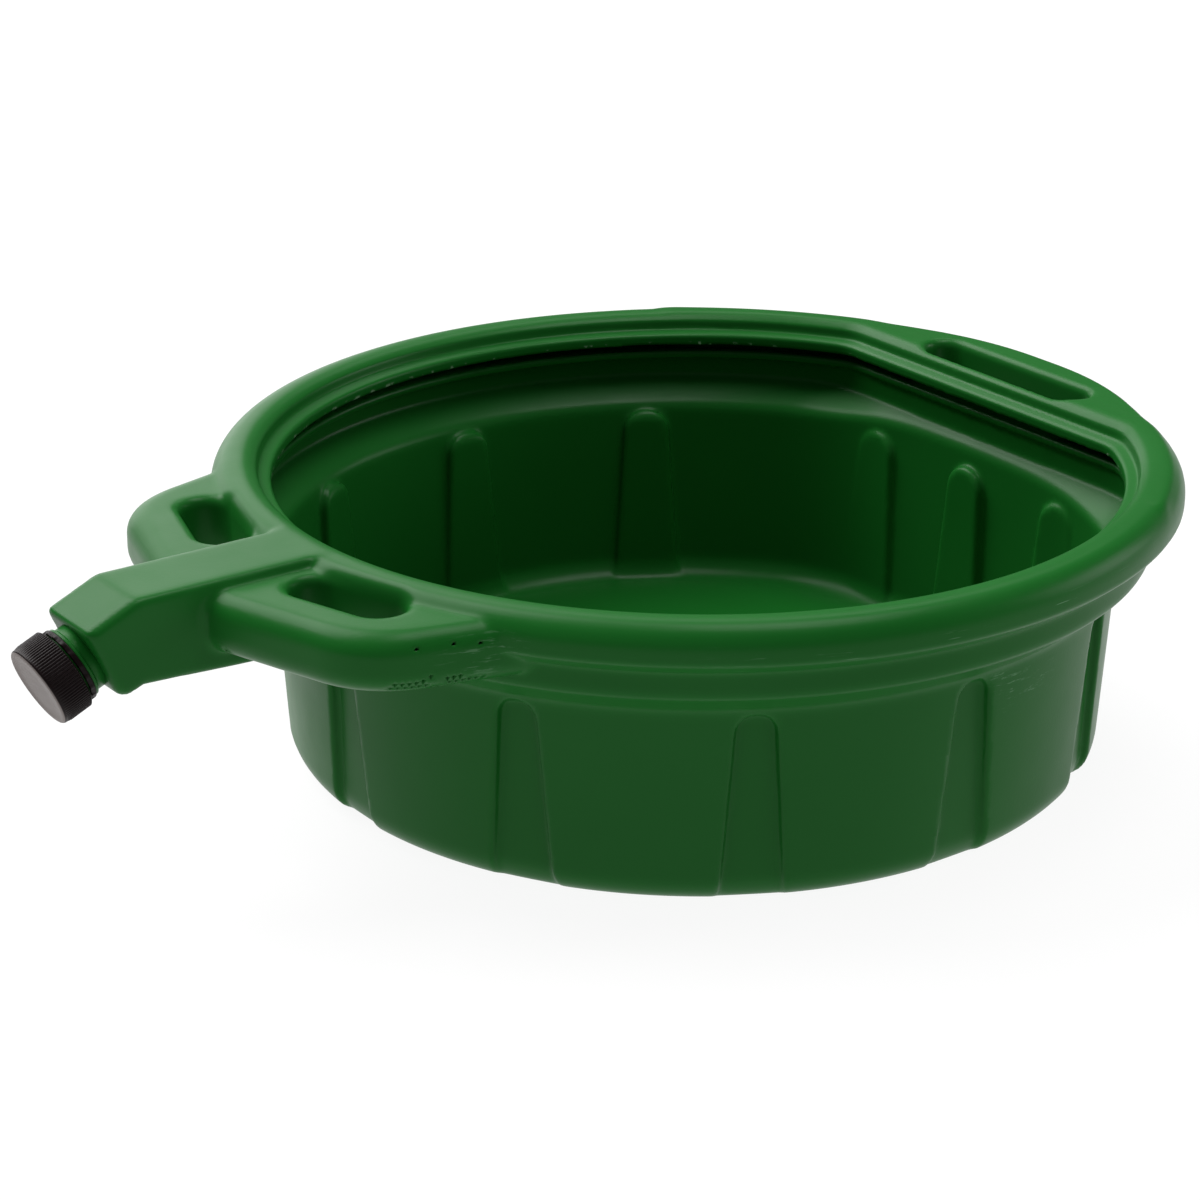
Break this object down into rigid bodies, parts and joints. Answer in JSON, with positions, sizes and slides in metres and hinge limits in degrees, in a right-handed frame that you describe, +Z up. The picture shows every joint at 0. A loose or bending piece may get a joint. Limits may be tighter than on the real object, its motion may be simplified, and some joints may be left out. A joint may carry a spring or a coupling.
{
  "type": "oil drain pan",
  "caption": "Round open pan that catches drained engine oil, with a rolled anti-splash rim, loop handles and a capped pouring spout.",
  "frame": {"origin": "on the axis of the round bowl, in the plane the pan rests on", "axes": "+Z up, the spout points to -X, the rear handle is at +X, and the pan is the same on both sides of the XZ plane"},
  "size_m": [0.5823, 0.4572, 0.145],
  "materials": {
    "pan_plastic": "satin green high-density polyethylene with a fine blow-moulded skin",
    "cap_plastic": "black injection-moulded polypropylene, satin",
    "liner_foam": "matte white foamed sealing disc"
  },
  "bodies": {
    "pan": {"bowl": "pan_plastic", "rim": "pan_plastic", "rear_handle": "pan_plastic", "handle_left": "pan_plastic", "handle_right": "pan_plastic", "spout": "pan_plastic", "neck": "pan_plastic", "neck_ring": "cap_plastic"},
    "liner": {"cap_liner": "liner_foam"},
    "cap": {"cap": "cap_plastic"}
  },
  "joints": [
    {"name": "cap_travel", "type": "slide", "parent": "pan", "child": "liner", "axis": [-0.9135, 0, -0.4067], "range_m": [0, 0.0063]},
    {"name": "cap_turn", "type": "hinge", "parent": "liner", "child": "cap", "pos_m": [-0.32484, 0, 0.11735], "axis": [-0.9135, 0, -0.4067], "range_deg": [0, 540]}
  ],
  "couplings": [
    {"joint": "cap_turn", "follows": "cap_travel", "rad_per_m": 1496}
  ]
}
